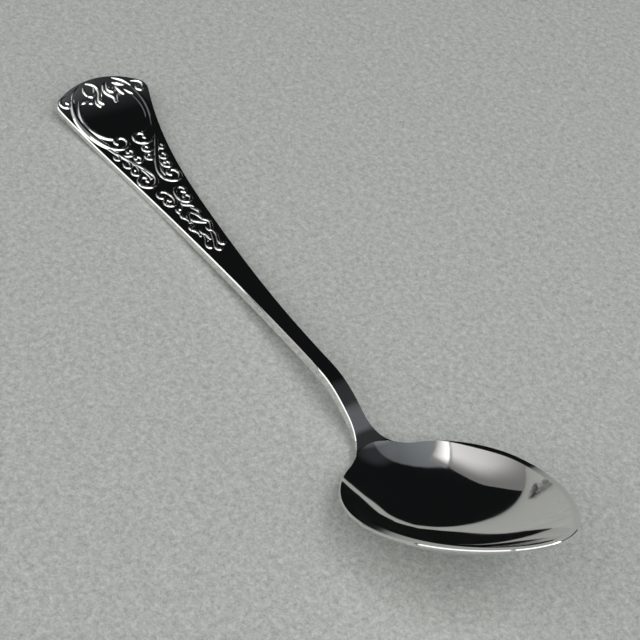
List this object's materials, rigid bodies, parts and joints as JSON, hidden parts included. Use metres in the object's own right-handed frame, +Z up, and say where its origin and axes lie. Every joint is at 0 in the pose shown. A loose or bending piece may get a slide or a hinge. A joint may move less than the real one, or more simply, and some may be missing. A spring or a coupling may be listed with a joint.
{
  "type": "teaspoon",
  "caption": "Polished metal teaspoon: tilted egg-shaped bowl brazed at the neck to a slim curved handle that widens to a fan end with struck scroll ornament; for stirring and spooning.",
  "frame": {"origin": "middle of the spoon's length and width, on the table plane that its heel and handle back rest on", "axes": "+X along the spoon from the handle end to the bowl tip, +Z up out of the table with the bowl open upwards, Y across the width"},
  "size_m": [0.1395, 0.0299, 0.0261],
  "materials": {
    "polished_bowl": "mirror polish",
    "polished_handle": "mirror polish with struck relief on the upper handle"
  },
  "bodies": {
    "root": {"bowl": "polished_bowl", "handle": "polished_handle"}
  },
  "joints": []
}
